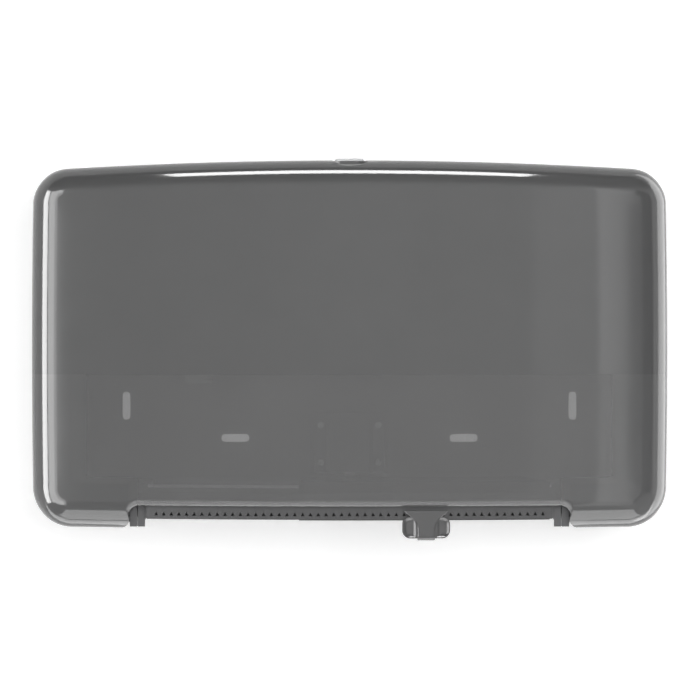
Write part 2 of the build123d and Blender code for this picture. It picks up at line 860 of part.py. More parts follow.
def shutter_piece():
    """Shutter: a floor on the exit frame, a skirt in front of it and a tongue for the tab."""
    tongue_turn = degrees(asin(tongue_half / skirt_front))
    with BuildPart() as body:
        add(
            sector(
                shutter_turn, shutter_half_turn, skirt_front, exit_rear - frame_wall,
                shutter_low, shutter_low + shutter,
            )
        )
        add(
            sector(
                shutter_turn, shutter_half_turn, skirt_front, skirt_rear,
                skirt_bottom, shutter_low + shutter / 2,
            )
        )
        add(
            sector(
                shutter_turn, tongue_turn, skirt_front, skirt_rear,
                skirt_bottom - tongue_drop, skirt_bottom + 1,
            )
        )
        drill([tab_screw_plane()], small_screw_radius + gap / 4, 30)
    body.part.label = "shutter"
    return body.part


def tab_screw_plane():
    """Plane of the tab's screw, at the block's rear, facing back."""
    angle = radians(shutter_turn)
    radius = skirt_rear - 6 - fit
    origin = (radius * sin(angle), bow_y - radius * cos(angle), skirt_bottom - tongue_drop / 2)
    return Plane(origin=origin, z_dir=(-sin(angle), cos(angle), 0))


def shutter_tab():
    """Finger tab: a ribbed grip in front of the tear bar and a block that takes the tongue."""
    block_turn = degrees(asin((tongue_half + 3) / skirt_front))
    socket_turn = degrees(asin((tongue_half + fit) / skirt_front))
    depth = skirt_bottom - tongue_drop - 2
    with BuildPart() as body:
        add(sector(shutter_turn, block_turn, tab_rear + 1, skirt_rear - 6, depth, skirt_bottom))
        with BuildSketch(radial(shutter_turn, 0, tab_rear)) as wings:
            with Locations((0, (tab_wing_bottom + tab_wing_top) / 2)):
                RectangleRounded(2 * tab_half, tab_wing_top - tab_wing_bottom, tab_wing_corner)
        extrude(amount=tab * 0.55)
        with BuildSketch(radial(shutter_turn, 0, tab_rear)) as rib:
            with BuildLine():
                Polyline(
                    (-tab_rib_half, tab_bottom),
                    (tab_rib_half, tab_bottom),
                    (tab_rib_half, tab_top - 5),
                    (tab_flare_half, tab_top),
                    (-tab_flare_half, tab_top),
                    (-tab_rib_half, tab_top - 5),
                    close=True,
                )
            make_face()
        extrude(amount=tab)
        add(
            sector(
                shutter_turn, socket_turn, skirt_front + fit, skirt_rear - fit,
                skirt_bottom - tongue_drop - fit, skirt_bottom + 1,
            ),
            mode=Mode.SUBTRACT,
        )
        drill([tab_screw_plane()], small_screw_radius + fit, 14)
    body.part.label = "shutter_tab"
    return body.part


# ---- make every piece and write it ----

def pieces():
    """Every piece of the dispenser, each with its label."""
    made = [back_plate(), exit_frame(), tear_bar_piece(), centre_bracket(), detent_spring(), latch_bracket()]
    for side, centre, turn in zip(("left", "right"), spindle_places, (left_hub_turn, right_hub_turn)):
        made.append(spindle(centre, side + "_spindle"))
        made.append(washer_ring(centre, side + "_brake_washer"))
        made.append(hub(centre, turn, side + "_hub"))
        made.append(hub_cap(centre, side + "_hub_cap"))
    made.append(hinge_pin(-1, "left_hinge_pin"))
    made.append(hinge_pin(1, "right_hinge_pin"))
    striker = bracket_width / 2 + 1
    made.append(cross_pin(striker_y, striker_z, striker_radius, (-striker, striker), "striker_pin"))
    made.append(cross_pin(lever_y, lever_z, lever_pin_radius, (-cheek_outer, cheek_outer), "lever_pin"))
    made += [cover(), lock_housing(), lock_button(), button_spring(), latch_lever()]
    made += [shutter_piece(), shutter_tab()]
    return made


def fasteners():
    """Every screw, one node for each kind of joint."""
    small = (small_screw_radius, small_screw_head_radius, small_screw_head)
    large = (screw_radius, screw_head_radius, screw_head)

    def screws(label, planes, size, length):
        group = screw_set(planes, size[0], length, size[1], size[2])
        group.label = label
        return group

    end = plate_front + spindle_length + cap
    spindle_places_all = spindle_screws_at(spindle_places[0]) + spindle_screws_at(spindle_places[1])
    housing_planes = [Plane(origin=(x, y, housing_bottom), z_dir=(0, 0, -1)) for x, y in housing_places]
    return [
        screws("exit_frame_screws", facing_front(foot_places, plate_front + foot), large, 9),
        screws("tear_bar_screws", bar_screw_planes(bar_block - ear_front), small, 16),
        screws("spindle_screws", facing_front(spindle_places_all, plate_front + spindle_flange), small, 10),
        screws("hub_cap_screws", facing_front(spindle_places, end), large, 14),
        screws("centre_bracket_screws", facing_front(centre_places, plate_front + sheet), small, 9),
        screws("latch_bracket_screws", facing_front(bracket_places, plate_front + sheet), small, 9),
        screws("lock_housing_screws", housing_planes, small, 7),
        screws("tab_screw", [tab_screw_plane()], small, 13),
    ]


os.makedirs("parts", exist_ok=True)
for piece in pieces() + fasteners():
    export_step(piece, "parts/" + piece.label + ".step")
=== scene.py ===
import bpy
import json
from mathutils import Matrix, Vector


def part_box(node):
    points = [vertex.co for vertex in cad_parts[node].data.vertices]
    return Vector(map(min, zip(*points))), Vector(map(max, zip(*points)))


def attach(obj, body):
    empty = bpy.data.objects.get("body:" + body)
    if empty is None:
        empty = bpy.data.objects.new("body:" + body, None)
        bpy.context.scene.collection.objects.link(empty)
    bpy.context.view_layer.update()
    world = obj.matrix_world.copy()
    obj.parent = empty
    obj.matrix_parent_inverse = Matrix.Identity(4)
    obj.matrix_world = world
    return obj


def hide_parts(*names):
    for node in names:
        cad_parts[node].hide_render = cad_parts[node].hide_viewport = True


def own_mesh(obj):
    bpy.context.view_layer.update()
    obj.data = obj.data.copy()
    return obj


bl_info = {
    "name": "Twin Jumbo Roll Dispenser",
    "version": (1, 0, 0),
    "blender": (4, 5, 0),
    "location": "View3D > Sidebar > Dispenser",
    "description": "Builds the cover, tab, finishes and stage of a twin jumbo roll dispenser",
    "category": "Object",
}

import json
import math

import bpy
from mathutils import Vector

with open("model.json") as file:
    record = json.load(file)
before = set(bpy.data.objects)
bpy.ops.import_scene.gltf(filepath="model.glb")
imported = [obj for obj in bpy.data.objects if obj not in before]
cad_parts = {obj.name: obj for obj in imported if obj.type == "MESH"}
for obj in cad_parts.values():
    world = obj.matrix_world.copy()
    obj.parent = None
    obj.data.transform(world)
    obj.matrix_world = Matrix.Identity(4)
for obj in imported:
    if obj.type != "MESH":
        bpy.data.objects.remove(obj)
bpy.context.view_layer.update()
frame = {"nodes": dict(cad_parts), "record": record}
COVER_LOW, COVER_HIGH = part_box("front_cover")
TAB_LOW, TAB_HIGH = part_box("shutter_tab")
JOINTS = {row["name"]: row for row in frame["record"]["behaviour"]["joints"]}
HINGE = Vector(JOINTS["cover_hinge"]["pos_m"])

# Bow that the cover's front shares with the shutter's track, and its centre
BOW_RADIUS = 0.900
BOW_Y = BOW_RADIUS + COVER_LOW.y


# ---- sizes and colours that a user would change ----

def length(name, description, default):
    """A size in metres, shown in the scene's own unit."""
    return bpy.props.FloatProperty(
        name=name, description=description, default=default, min=0.0, precision=5,
        subtype="DISTANCE", unit="LENGTH",
    )


def colour(name, description, default):
    """A linear colour without alpha."""
    return bpy.props.FloatVectorProperty(
        name=name, description=description, default=default, min=0.0, max=1.0, size=3,
        subtype="COLOR",
    )


def share(name, description, default):
    """A share between nothing and all."""
    return bpy.props.FloatProperty(
        name=name, description=description, default=default, min=0.0, max=1.0, subtype="FACTOR",
    )


class CasingSettings(bpy.types.PropertyGroup):
    """Shape of the front cover."""

    top_corner: length("Top corner", "Radius of the two upper corners", 0.0265)
    bottom_corner: length("Bottom corner", "Radius of the two lower corners", 0.030)
    front_roll: length("Front roll", "Rounding from the sides into the front", 0.022)
    wall: length("Wall", "Thickness of the cover", 0.0028)
    top_arch: length("Top arch", "Rise of the top's middle over its ends", 0.0058)
    side_bow: length("Side bow", "Outward bow of each side", 0.0016)
    notch_half: length("Notch half", "Half the width of the paper notch", 0.168)
    notch_height: length("Notch height", "Height of the paper notch", 0.0176)
    notch_corner: length("Notch corner", "Radius inside the notch's ends", 0.007)
    lobe_corner: length("Lobe corner", "Radius where a lobe turns into the notch", 0.0085)
    lip_roll: length("Lip roll", "Rounding along the notch", 0.0068)
    lip_depth: length("Lip depth", "How far the notch's lip curls in", 0.005)


class TabSettings(bpy.types.PropertyGroup):
    """Shape of the shutter's finger tab."""

    half: length("Half width", "Half the width over the wings", 0.0181)
    rib_half: length("Rib half width", "Half the width of the middle rib", 0.0065)
    flare_half: length("Flare half width", "Half the width of the rib's top", 0.0172)
    depth: length("Depth", "Depth of the rib", 0.0045)
    wing: length("Wing", "Thickness of the wings", 0.0030)
    wing_lower_corner: length("Lower corner", "Radius of the wings' lower corners", 0.006)
    wing_upper_corner: length("Upper corner", "Radius of the wings' upper corners", 0.0055)
    edge: length("Edge", "Rounding of the sharp edges", 0.0005)


class FinishSettings(bpy.types.PropertyGroup):
    """Colours and gloss of the finishes."""

    smoke: colour("Smoke grey", "Colour of the cover", (0.118, 0.118, 0.119))
    thin_smoke: colour(
        "Thin smoke grey", "Colour of the cover's see-through part", (0.212, 0.212, 0.213),
    )
    smoke_cover_share: share(
        "Smoke density", "How opaque each face of the see-through part is", 0.56,
    )
    smoke_gloss: share("Cover roughness", "Roughness of the cover's face", 0.085)
    frame_grey: colour(
        "Frame grey", "Colour of the back plate and exit frame", (0.115, 0.115, 0.118),
    )
    dark: colour("Dark plastic", "Colour of the bar, brackets and lock", (0.085, 0.085, 0.087))
    # The shutter is dark plastic, made near black so that it also stands in for the painted shade
    # seen through the gaps between the teeth
    shutter: colour("Shutter black", "Colour of the sliding shutter", (0.012, 0.012, 0.012))
    hub: colour("Hub grey", "Colour of the roll hubs", (0.24, 0.24, 0.243))
    button: colour("Button", "Colour of the lock button", (0.8, 0.8, 0.81))
    rubber: colour("Rubber", "Colour of the brake washers", (0.02, 0.02, 0.02))
    steel: colour("Steel", "Colour of the screws, pins and springs", (0.5, 0.5, 0.51))


class StageSettings(bpy.types.PropertyGroup):
    """Camera distance and lights."""

    distance: length("Camera distance", "Camera's distance from the wall", 2.2)
    picture_width: length("Picture width", "What the picture spans at the cover's rim", 0.5388)
    world: bpy.props.FloatProperty(
        name="Room light", description="Strength of the light from all round", default=0.7, min=0.0,
    )


# ---- modelling helpers ----

def clear_selection():
    """Object mode with nothing selected."""
    if bpy.context.mode != "OBJECT":
        bpy.ops.object.mode_set(mode="OBJECT")
    bpy.ops.object.select_all(action="DESELECT")


def activate(piece):
    """Selects one object alone."""
    clear_selection()
    piece.select_set(True)
    bpy.context.view_layer.objects.active = piece


def settle(piece, name):
    """Puts an object's place into its mesh and names it."""
    bpy.ops.object.transform_apply(location=True, rotation=True, scale=True)
    piece.name = piece.data.name = name
    return piece


def block(name, low, high):
    """Box between two corners."""
    clear_selection()
    low, high = Vector(low), Vector(high)
    bpy.ops.mesh.primitive_cube_add(size=1, location=(low + high) / 2, scale=high - low)
    return settle(bpy.context.active_object, name)


def rod(name, start, end, radius):
    """Round bar between two points."""
    clear_selection()
    start, end = Vector(start), Vector(end)
    turn = (end - start).to_track_quat("Z", "Y").to_euler()
    bpy.ops.mesh.primitive_cylinder_add(
        vertices=48, radius=radius, depth=(end - start).length,
        location=(start + end) / 2, rotation=turn,
    )
    return settle(bpy.context.active_object, name)


def pick(piece, kind, test):
    """Enters edit mode with the faces, edges or vertices that pass a test selected.

    A face is tested by its middle and normal, an edge by its two ends, a vertex by its place.
    """
    activate(piece)
    mesh = piece.data
    for part in (mesh.vertices, mesh.edges, mesh.polygons):
        part.foreach_set("select", [False] * len(part))
    if kind == "FACE":
        for face in mesh.polygons:
            face.select = test(face.center, face.normal)
    elif kind == "EDGE":
        for edge in mesh.edges:
            edge.select = test(*(mesh.vertices[i].co for i in edge.vertices))
    else:
        for vertex in mesh.vertices:
            vertex.select = test(vertex.co)
    bpy.context.tool_settings.mesh_select_mode = (kind == "VERT", kind == "EDGE", kind == "FACE")
    bpy.ops.object.mode_set(mode="EDIT")


def done():
    """Back to object mode."""
    bpy.ops.object.mode_set(mode="OBJECT")


def round_edges(piece, test, radius, segments):
    """Rounds the edges that pass a test."""
    pick(piece, "EDGE", test)
    bpy.ops.mesh.bevel(offset=radius, segments=segments, affect="EDGES", clamp_overlap=False)
    done()


def near(value, target, tolerance=1e-5):
    """Whether two lengths in metres are the same."""
    return abs(value - target) < tolerance


def along(axis):
    """Test for edges that run along one axis."""
    others = [i for i in range(3) if i != axis]
    return lambda a, b: all(near(a[i], b[i], 1e-4) for i in others)


def slice_across(piece, axis, places):
    """Cuts every face at planes across an axis, and keeps both sides."""
    normal = [0, 0, 0]
    normal[axis] = 1
    for place in places:
        activate(piece)
        bpy.ops.object.mode_set(mode="EDIT")
        bpy.ops.mesh.select_all(action="SELECT")
        point = [0, 0, 0]
        point[axis] = place
        bpy.ops.mesh.bisect(plane_co=point, plane_no=normal)
        done()


def apply_modifier(piece, kind, **settings):
    """Adds a modifier, sets it and applies it."""
    activate(piece)
    modifier = piece.modifiers.new(kind.title(), kind)
    for key, value in settings.items():
        setattr(modifier, key, value)
    bpy.ops.object.modifier_apply(modifier=modifier.name)


def combine(piece, other, operation):
    """Boolean of two solids. The second one is used up."""
    apply_modifier(piece, "BOOLEAN", operation=operation, solver="EXACT", object=other)
    bpy.data.objects.remove(other, do_unlink=True)
    return piece


def tidy(piece, distance=1e-5):
    """Merges doubles and dissolves what has no area."""
    pick(piece, "VERT", lambda co: True)
    bpy.ops.mesh.remove_doubles(threshold=distance)
    bpy.ops.mesh.dissolve_degenerate(threshold=distance / 2)
    done()


def smooth(piece, angle=32.0):
    """Smooth shading across edges flatter than an angle, with faces weighted by size."""
    activate(piece)
    bpy.ops.object.shade_smooth_by_angle(angle=math.radians(angle))
    apply_modifier(piece, "WEIGHTED_NORMAL", keep_sharp=True, weight=60)


def capsule(name, centre, spans, low, high):
    """Upright solid with round ends, its spans along X and Y."""
    (x, y), (across, deep) = centre, spans
    shape = block(
        name, (x - across / 2, y - deep / 2, low), (x + across / 2, y + deep / 2, high),
    )
    round_edges(shape, along(2), min(spans) / 2 - 1e-5, 16)
    tidy(shape, 2e-5)
    return shape


def finish_piece(piece, body, slot, material, *nodes):
    """Gives a piece its finish and its body, and hides the nodes that it stands in for."""
    piece.data.materials.clear()
    piece.data.materials.append(material)
    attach(piece, body)
    if nodes:
        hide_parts(*nodes)


# ---- finishes ----

# Where the cover's see-through part fades out: at its top, at the sides, and over and beside
# the lobes. Beyond the last pair its rim is lighter.
THIN_UNDER = (-0.0187, -0.0184)
THIN_WITHIN = (0.196, 0.212)
LOBES_UNDER = (-0.102, -0.095)
LOBES_BEYOND = (0.158, 0.168)
RIM_BEYOND = (0.200, 0.230)
RIM_LIFT = 1.16

# Where the exit frame's front wall starts and ends, and its parts: painted shade that makes it
# black behind the teeth, and a painted highlight that makes it pale along its upper edge
WALL_BEFORE = (-0.0990, -0.0985)
WALL_WITHIN = (0.1535, 0.1540)
TEETH_UNDER = (-0.1150, -0.1145)
EDGE_ABOVE = (-0.1048, -0.1046)
PAINTED_SHADE_BEHIND_TEETH = 0.06
PAINTED_EDGE_HIGHLIGHT = 8.0

PLASTIC_IOR = 1.5

SLOT_NAMES = (
    "smoke_cover", "grey_frame", "dark_plastic", "tab_plastic",
    "hub_plastic", "clear_button", "washer_rubber", "zinc_steel", "shutter_black",
)


class Tree:
    """Short way to build a node tree."""

    def __init__(self, tree):
        self.tree = tree

    def add(self, kind, **settings):
        """New node with its settings."""
        node = self.tree.nodes.new(kind)
        for key, value in settings.items():
            setattr(node, key, value)
        return node

    def feed(self, socket, given):
        """Links another socket to this one, or sets it to a value."""
        if isinstance(given, bpy.types.NodeSocket):
            self.tree.links.new(given, socket)
        else:
            socket.default_value = given

    def maths(self, operation, *values):
        """One sum of values, each a socket or a number."""
        node = self.add("ShaderNodeMath", operation=operation)
        for socket, value in zip(node.inputs, values):
            self.feed(socket, value)
        return node.outputs["Value"]

    def spread(self, value, low, high, start=0.3, end=0.7, curve="LINEAR"):
        """Maps a value's range from start to end onto low to high."""
        ranged = self.add("ShaderNodeMapRange", interpolation_type=curve)
        self.feed(ranged.inputs["Value"], value)
        limits = {"From Min": start, "From Max": end, "To Min": low, "To Max": high}
        for name, given in limits.items():
            self.feed(ranged.inputs[name], given)
        return ranged.outputs["Result"]

    def seen_directly(self):
        """Value that is 1 for a ray of the camera, of a reflection or through glass."""
        rays = self.add("ShaderNodeLightPath")
        seen = rays.outputs["Is Camera Ray"]
        for kind in ("Is Glossy Ray", "Is Transmission Ray"):
            seen = self.maths("MAXIMUM", seen, rays.outputs[kind])
        return seen


class Finish(Tree):
    """A material on the object's own coordinates."""

    def __init__(self, name):
        self.material = bpy.data.materials.new(name)
        self.material.use_nodes = True
        super().__init__(self.material.node_tree)
        self.shader = self.tree.nodes["Principled BSDF"]
        self.place = self.add("ShaderNodeTexCoord").outputs["Object"]

    def give(self, name, value):
        """Sets or links one of the shader's sockets."""
        self.feed(self.shader.inputs[name], value)

    def position(self):
        """Distance from the middle plane, then the place along Y and Z."""
        parts = self.add("ShaderNodeSeparateXYZ")
        self.feed(parts.inputs["Vector"], self.place)
        return self.maths("ABSOLUTE", parts.outputs["X"]), parts.outputs["Y"], parts.outputs["Z"]

    def noise(self, scale, detail, stretch=(1, 1, 1)):
        """Noise value."""
        mapping = self.add("ShaderNodeMapping")
        self.feed(mapping.inputs["Scale"], stretch)
        self.feed(mapping.inputs["Vector"], self.place)
        noise = self.add("ShaderNodeTexNoise")
        self.feed(noise.inputs["Scale"], scale)
        self.feed(noise.inputs["Detail"], detail)
        self.feed(noise.inputs["Vector"], mapping.outputs["Vector"])
        return noise.outputs["Fac"]

    def blend(self, factor, first, second, kind="MIX"):
        """Makes the base colour from two colours."""
        mix = self.add("ShaderNodeMix", data_type="RGBA", blend_type=kind)
        for name, given in (("Factor", factor), ("A", first), ("B", second)):
            self.feed(mix.inputs[name], given)
        self.give("Base Color", mix.outputs["Result"])

    def tint(self, value, base, change):
        """Base colour that varies a little about a colour."""
        darker, lighter = ((*[c * (1 + turn * change) for c in base], 1) for turn in (-1, 1))
        self.blend(value, darker, lighter)

    def shade(self, value):
        """Multiplies the base colour by a value."""
        base = self.shader.inputs["Base Color"].links[0].from_socket
        self.blend(1.0, base, value, "MULTIPLY")

    def bump(self, value, height):
        """Relief from a noise value, its height in metres."""
        bump = self.add("ShaderNodeBump")
        self.feed(bump.inputs["Strength"], 1.0)
        self.feed(bump.inputs["Distance"], height)
        self.feed(bump.inputs["Height"], value)
        self.give("Normal", bump.outputs["Normal"])


def moulded(name, base, roughness, grain, relief, tint=0.05):
    """Moulded plastic with a fine grain, slightly uneven gloss and colour."""
    made = Finish(name)
    cloud = made.noise(22.0, 4.0)
    fine = made.noise(grain, 2.0)
    made.tint(made.spread(cloud, 0.0, 1.0), base, tint)
    made.give("Roughness", made.spread(fine, roughness * 0.88, roughness * 1.12))
    made.give("IOR", PLASTIC_IOR)
    made.bump(fine, relief)
    return made


def smoke_cover(settings):
    """Glossy smoke plastic, opaque above a line, round the sides and on the lobes."""
    made = Finish("smoke_cover")
    cloud = made.noise(22.0, 4.0)
    fine = made.noise(45.0, 2.0)
    gloss = made.spread(fine, settings.smoke_gloss * 0.9, settings.smoke_gloss * 1.1)
    made.give("Roughness", gloss)
    made.give("IOR", PLASTIC_IOR)
    made.bump(fine, 0.000004)
    across, _, height = made.position()
    under_line = made.spread(height, 1.0, 0.0, *THIN_UNDER)
    off_sides = made.spread(across, 1.0, 0.0, *THIN_WITHIN)
    above_lobes = made.spread(height, 0.0, 1.0, *LOBES_UNDER)
    between_lobes = made.spread(across, 1.0, 0.0, *LOBES_BEYOND)
    off_lobes = made.maths("MAXIMUM", above_lobes, between_lobes)
    thin = made.maths("MULTIPLY", made.maths("MULTIPLY", under_line, off_sides), off_lobes)
    made.give("Alpha", made.spread(thin, 1.0, settings.smoke_cover_share, 0.0, 1.0))
    made.blend(thin, (*settings.smoke, 1), (*settings.thin_smoke, 1))
    rim = made.maths("MULTIPLY", made.spread(across, 0.0, 1.0, *RIM_BEYOND), under_line)
    lighter = made.spread(rim, 1.0, RIM_LIFT, 0.0, 1.0)
    made.shade(made.maths("MULTIPLY", made.spread(cloud, 0.98, 1.02), lighter))
    return made.material


def frame_plastic(settings):
    """Satin grey plastic, with painted shade that makes it black behind the teeth and a painted
    highlight along the exit's front edge.
    """
    made = moulded("grey_frame", settings.frame_grey, 0.42, 700.0, 0.000008)
    across, depth, height = made.position()
    wall = made.maths(
        "MULTIPLY",
        made.spread(depth, 1.0, 0.0, *WALL_BEFORE),
        made.spread(across, 1.0, 0.0, *WALL_WITHIN),
    )
    # Painted shade darkens the wall behind the teeth, and a painted highlight lightens its upper
    # edge
    painted_shade_zone = made.spread(height, 1.0, 0.0, *TEETH_UNDER)
    painted_highlight_zone = made.spread(height, 0.0, 1.0, *EDGE_ABOVE)
    for part, change in ((painted_shade_zone, PAINTED_SHADE_BEHIND_TEETH), (painted_highlight_zone, PAINTED_EDGE_HIGHLIGHT)):
        made.shade(made.spread(made.maths("MULTIPLY", wall, part), 1.0, change, 0.0, 1.0))
    return made.material


def zinc(name, base):
    """Zinc-plated steel with fine drawn lines."""
    made = Finish(name)
    lines = made.noise(900.0, 2.0, (1, 1, 0.08))
    made.tint(lines, base, 0.15)
    made.give("Roughness", made.spread(lines, 0.28, 0.42))
    made.give("Metallic", 1.0)
    made.bump(lines, 0.00001)
    return made.material


def finishes():
    """Every finish by its slot's name, made once."""
    settings = bpy.context.scene.dispenser_finish
    known = bpy.data.materials
    if "smoke_cover" in known and known["smoke_cover"].get("dispenser_made"):
        return {name: known[name] for name in SLOT_NAMES}
    for old in SLOT_NAMES:
        if old in known:
            known[old].name = old + "_plain"
    made = {
        "smoke_cover": smoke_cover(settings),
        "grey_frame": frame_plastic(settings),
        "zinc_steel": zinc("zinc_steel", settings.steel),
    }
    for name, base, roughness, grain, relief, tint in (
        ("dark_plastic", settings.dark, 0.36, 800.0, 0.00002, 0.05),
        ("tab_plastic", settings.smoke, 0.16, 60.0, 0.000006, 0.02),
        ("hub_plastic", settings.hub, 0.4, 700.0, 0.00002, 0.05),
        ("clear_button", settings.button, 0.12, 90.0, 0.000004, 0.02),
        ("washer_rubber", settings.rubber, 0.75, 500.0, 0.00004, 0.2),
        ("shutter_black", settings.shutter, 0.5, 800.0, 0.00001, 0.05),
    ):
        made[name] = moulded(name, base, roughness, grain, relief, tint).material
    for material in made.values():
        material["dispenser_made"] = True
    return made


# ---- the front cover ----

# Planes that give the warped casing enough faces, across and up
BOW_SLICES = [0.0135 * i for i in range(-11, 12)] + [-0.2, -0.185, 0.185, 0.2]
HEIGHT_SLICES = (-0.09, -0.06, -0.03, 0.0, 0.03, 0.06, 0.09, 0.108)

# Turns of the notch's rounded lip at its cuts, in degrees
LIP_TURNS = (14, 26, 40, 55, 72)
LIP_START = 0.0002
LIP_REACH = 0.02

# Ceiling of the notch behind its lip
CEILING_UNDER = 0.0081
CEILING_OVER = 0.0038

# Bosses and bore of the hinge
BOSS_RADIUS = 0.0066
BOSS_LENGTH = 0.006
BORE_RADIUS = 0.00305

# Recess round the lock button and the hole in it, as spans across and deep
LOCK_CENTRE = (0.0, -0.114)
RECESS_SPANS = (0.0306, 0.028)
RECESS_DEPTH = 0.003
CUP_DROP = 0.0014
LOCK_HOLE_SPANS = (0.0226, 0.0156)


def bow_back(x):
    """How far the bowed front lies behind its middle, at a place across."""
    return BOW_RADIUS - math.sqrt(BOW_RADIUS ** 2 - x ** 2)


def warp_casing(piece, settings):
    """Bows the front and sides and arches the top, with a lattice."""
    roll = settings.front_roll
    columns, rows, levels = 41, 8, 13
    low = Vector(COVER_LOW)
    high = Vector((COVER_HIGH.x, COVER_LOW.y + (rows - 1) * roll, COVER_HIGH.z))
    middle, size = (low + high) / 2, high - low
    clear_selection()
    bpy.ops.object.add(type="LATTICE", location=middle)
    lattice = bpy.context.active_object
    lattice.scale = size
    cage = lattice.data
    cage.points_u, cage.points_v, cage.points_w = columns, rows, levels
    cage.interpolation_type_u = cage.interpolation_type_w = "KEY_CARDINAL"
    cage.interpolation_type_v = "KEY_LINEAR"
    half = COVER_HIGH.x
    roll_start = COVER_LOW.y + roll
    flat_rear = -0.008
    for point in cage.points:
        x, y, z = (point.co[i] * size[i] + middle[i] for i in range(3))
        depth_share = min(1.0, max(0.0, (flat_rear - y) / (flat_rear - roll_start)))
        edge = COVER_HIGH.z if z > 0 else -COVER_LOW.z
        new = (
            x * (1 - settings.side_bow / half * (z / edge) ** 2),
            y + bow_back(x) * depth_share,
            z - settings.top_arch * (x / half) ** 2 * max(0.0, z / COVER_HIGH.z),
        )
        point.co_deform = [(new[i] - middle[i]) / size[i] for i in range(3)]
    apply_modifier(piece, "LATTICE", object=lattice)
    bpy.data.objects.remove(lattice, do_unlink=True)


def round_corners(piece, test, radius, segments):
    """Rounds the edges that run from front to back and whose place passes a test."""
    lengthwise = along(1)
    round_edges(piece, lambda a, b: lengthwise(a, b) and test(a), radius, segments)


def rounded_casing(settings, inset=0.0):
    """The casing's form with its notch as a closed solid, drawn inside itself by an inset."""
    roll = settings.front_roll - inset
    rear = COVER_HIGH.y if inset == 0 else 0.01
    low = Vector((COVER_LOW.x + inset, COVER_LOW.y + inset + roll, COVER_LOW.z + inset))
    high = Vector((COVER_HIGH.x - inset, rear, COVER_HIGH.z - inset))
    casing = block("front_cover", low, high)
    round_corners(casing, lambda co: near(co.z, high.z), settings.top_corner - inset, 14)
    round_corners(casing, lambda co: near(co.z, low.z), settings.bottom_corner - inset, 16)
    slice_across(casing, 0, BOW_SLICES)
    slice_across(casing, 2, HEIGHT_SLICES)
    steps = 10
    pick(casing, "FACE", lambda middle, normal: normal.y < -0.9)
    for step in range(steps):
        before, after = (math.radians(90 * i / steps) for i in (step, step + 1))
        bpy.ops.mesh.inset(
            thickness=roll * (math.cos(before) - math.cos(after)),
            depth=roll * (math.sin(after) - math.sin(before)),
            use_even_offset=True,
        )
    done()
    combine(casing, notch_cutter(settings, inset), "DIFFERENCE")
    warp_casing(casing, settings)
    return casing


def notch_cutter(settings, inset=0.0):
    """Solid that takes the notch out of the casing's underside, grown by an inset."""
    half = settings.notch_half + inset
    floor = COVER_LOW.z + inset
    top = COVER_LOW.z + settings.notch_height + inset
    cutter = block("notch", (-0.4, -0.3, floor - 0.05), (0.4, 0.1, floor))
    slice_across(cutter, 0, [-half, half])
    pick(cutter, "FACE", lambda middle, normal: normal.z > 0.9 and abs(middle.x) < half)
    bpy.ops.mesh.extrude_region_move(TRANSFORM_OT_translate={"value": (0, 0, top - floor)})
    done()
    round_corners(cutter, lambda co: near(co.z, top), settings.notch_corner + inset, 10)
    if inset == 0:
        round_corners(
            cutter, lambda co: near(co.z, floor) and near(abs(co.x), half),
            settings.lobe_corner, 10,
        )
        flare_front(cutter, settings.lip_roll)
    straight = half - 0.012
    slice_across(cutter, 0, [place for place in BOW_SLICES if abs(place) < straight])
    return cutter


def flare_front(cutter, roll):
    """Widens a cutter towards the cover's face, so that the edge that it leaves is rounded."""
    turns = [math.radians(turn) for turn in LIP_TURNS]
    steps = [(roll * (1 - math.cos(turn)), roll * (1 - math.sin(turn))) for turn in turns]
    depth, growth = steps[0]
    outside = growth + (depth + LIP_START) / math.tan(turns[0])
    steps += [(-LIP_START, outside), (-LIP_REACH, outside)]
    slice_across(cutter, 1, [COVER_LOW.y + depth for depth, growth in steps] + [COVER_LOW.y + roll])
    grown = cutter.vertex_groups.new(name="grown")
    for depth, growth in steps:
        ring = [v.index for v in cutter.data.vertices if near(v.co.y, COVER_LOW.y + depth)]
        grown.add(ring, growth / outside, "REPLACE")
    apply_modifier(cutter, "DISPLACE", strength=outside, mid_level=0.0, vertex_group="grown")


def exit_cutter(settings):
    """Solid that opens the notch's ceiling behind its lip."""
    top = COVER_LOW.z + settings.notch_height
    half = settings.notch_half + 0.0002
    cutter = block("ceiling", (-half, -0.2, top - CEILING_UNDER), (half, 0.02, top + CEILING_OVER))
    clear_selection()
    bpy.ops.mesh.primitive_cylinder_add(
        vertices=1440, radius=BOW_RADIUS - settings.lip_depth, depth=0.1, location=(0, BOW_Y, top),
    )
    drum = settle(bpy.context.active_object, "drum")
    return combine(cutter, drum, "INTERSECT")


def add_hinge(cover, notch_half):
    """Bosses at the notch's ends, and a bore for the pins through both."""
    for side in (-1, 1):
        inner, outer = (
            HINGE + Vector((side * reach, 0, 0)) for reach in (notch_half, notch_half + BOSS_LENGTH)
        )
        combine(cover, rod("boss", inner, outer, BOSS_RADIUS), "UNION")
    reach = Vector((0.2, 0, 0))
    combine(cover, rod("bore", HINGE - reach, HINGE + reach, BORE_RADIUS), "DIFFERENCE")


def add_lock_recess(cover, wall):
    """Cups the top round the lock button and opens a hole for it."""
    top = COVER_HIGH.z
    floor = top - RECESS_DEPTH
    beyond = 0.01
    cup_spans = [span + 2 * wall for span in RECESS_SPANS]
    cup = capsule("cup", LOCK_CENTRE, cup_spans, floor - wall, top - CUP_DROP)
    combine(cover, cup, "UNION")
    recess = capsule("recess", LOCK_CENTRE, RECESS_SPANS, floor, top + beyond)
    combine(cover, recess, "DIFFERENCE")
    hole = capsule("hole", LOCK_CENTRE, LOCK_HOLE_SPANS, floor - beyond, top + beyond)
    combine(cover, hole, "DIFFERENCE")


